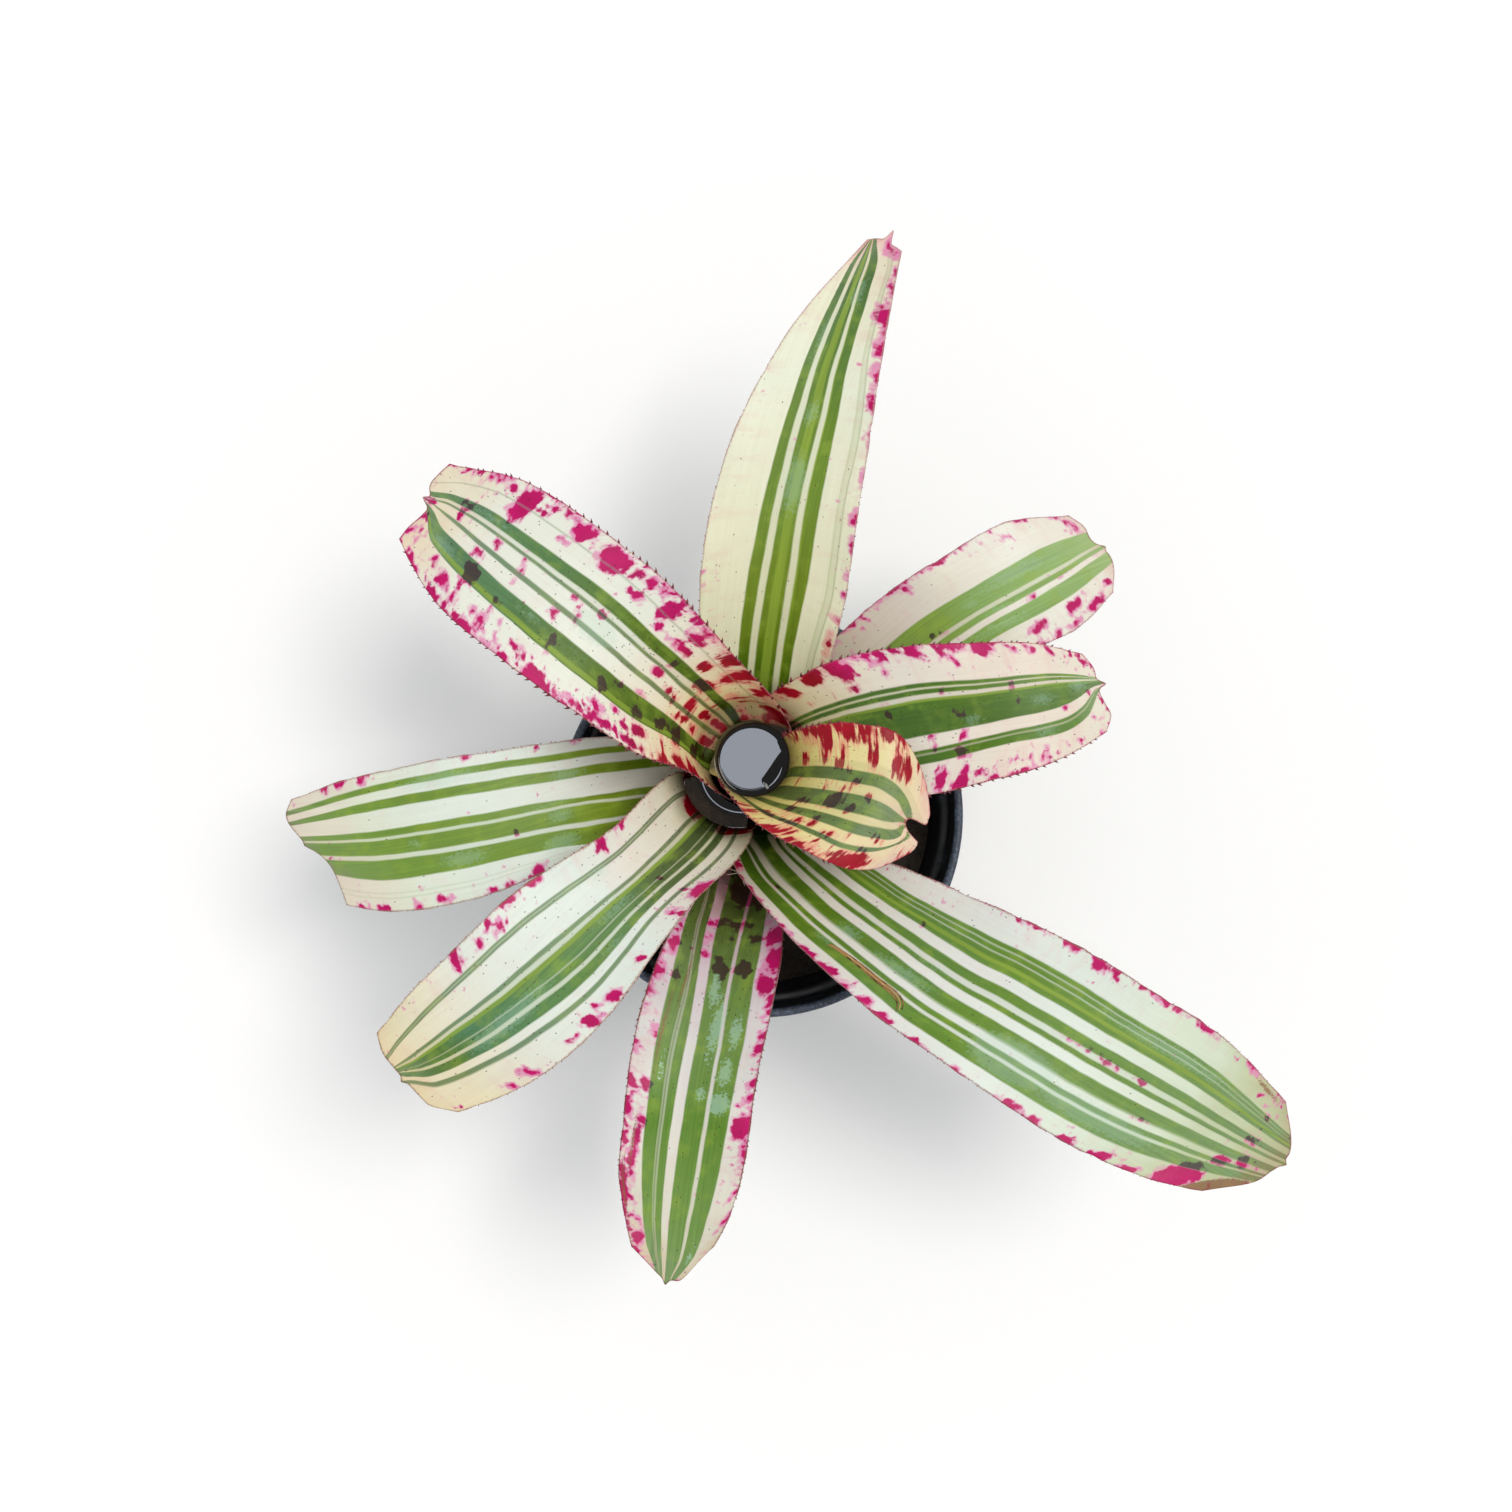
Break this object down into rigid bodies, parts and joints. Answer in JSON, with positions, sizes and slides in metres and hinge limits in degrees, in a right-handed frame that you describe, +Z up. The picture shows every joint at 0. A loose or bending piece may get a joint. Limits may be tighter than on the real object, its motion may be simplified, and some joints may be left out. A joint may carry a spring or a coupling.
{
  "type": "neoregelia bromeliad in a nursery pot",
  "caption": "Potted rosette plant: broad strap leaves with green and cream stripes and crimson marks spiral round a cup of water, in a round black nursery pot.",
  "frame": {"origin": "centre of the pot's flat underside", "axes": "+Z up; the rosette leans about 9 degrees towards +Y, and the longest spread of the leaves lies along Y"},
  "size_m": [0.3682, 0.3883, 0.1899],
  "materials": {
    "pot_plastic": "scuffed black nursery-pot plastic",
    "potting_mix": "damp dark bark mix",
    "stem": "pale woody stem tissue",
    "banded_leaf": "leathery leaf, green and cream stripes with crimson marks, satin",
    "water": "clear still water over a dark cup"
  },
  "bodies": {
    "root": {"pot": "pot_plastic", "potting_mix": "potting_mix", "stem": "stem", "leaf_01": "banded_leaf", "leaf_02": "banded_leaf", "leaf_03": "banded_leaf", "leaf_04": "banded_leaf", "leaf_05": "banded_leaf", "leaf_06": "banded_leaf", "leaf_07": "banded_leaf", "leaf_08": "banded_leaf", "leaf_09": "banded_leaf", "tank_water": "water", "axil_water": "water"}
  },
  "joints": []
}
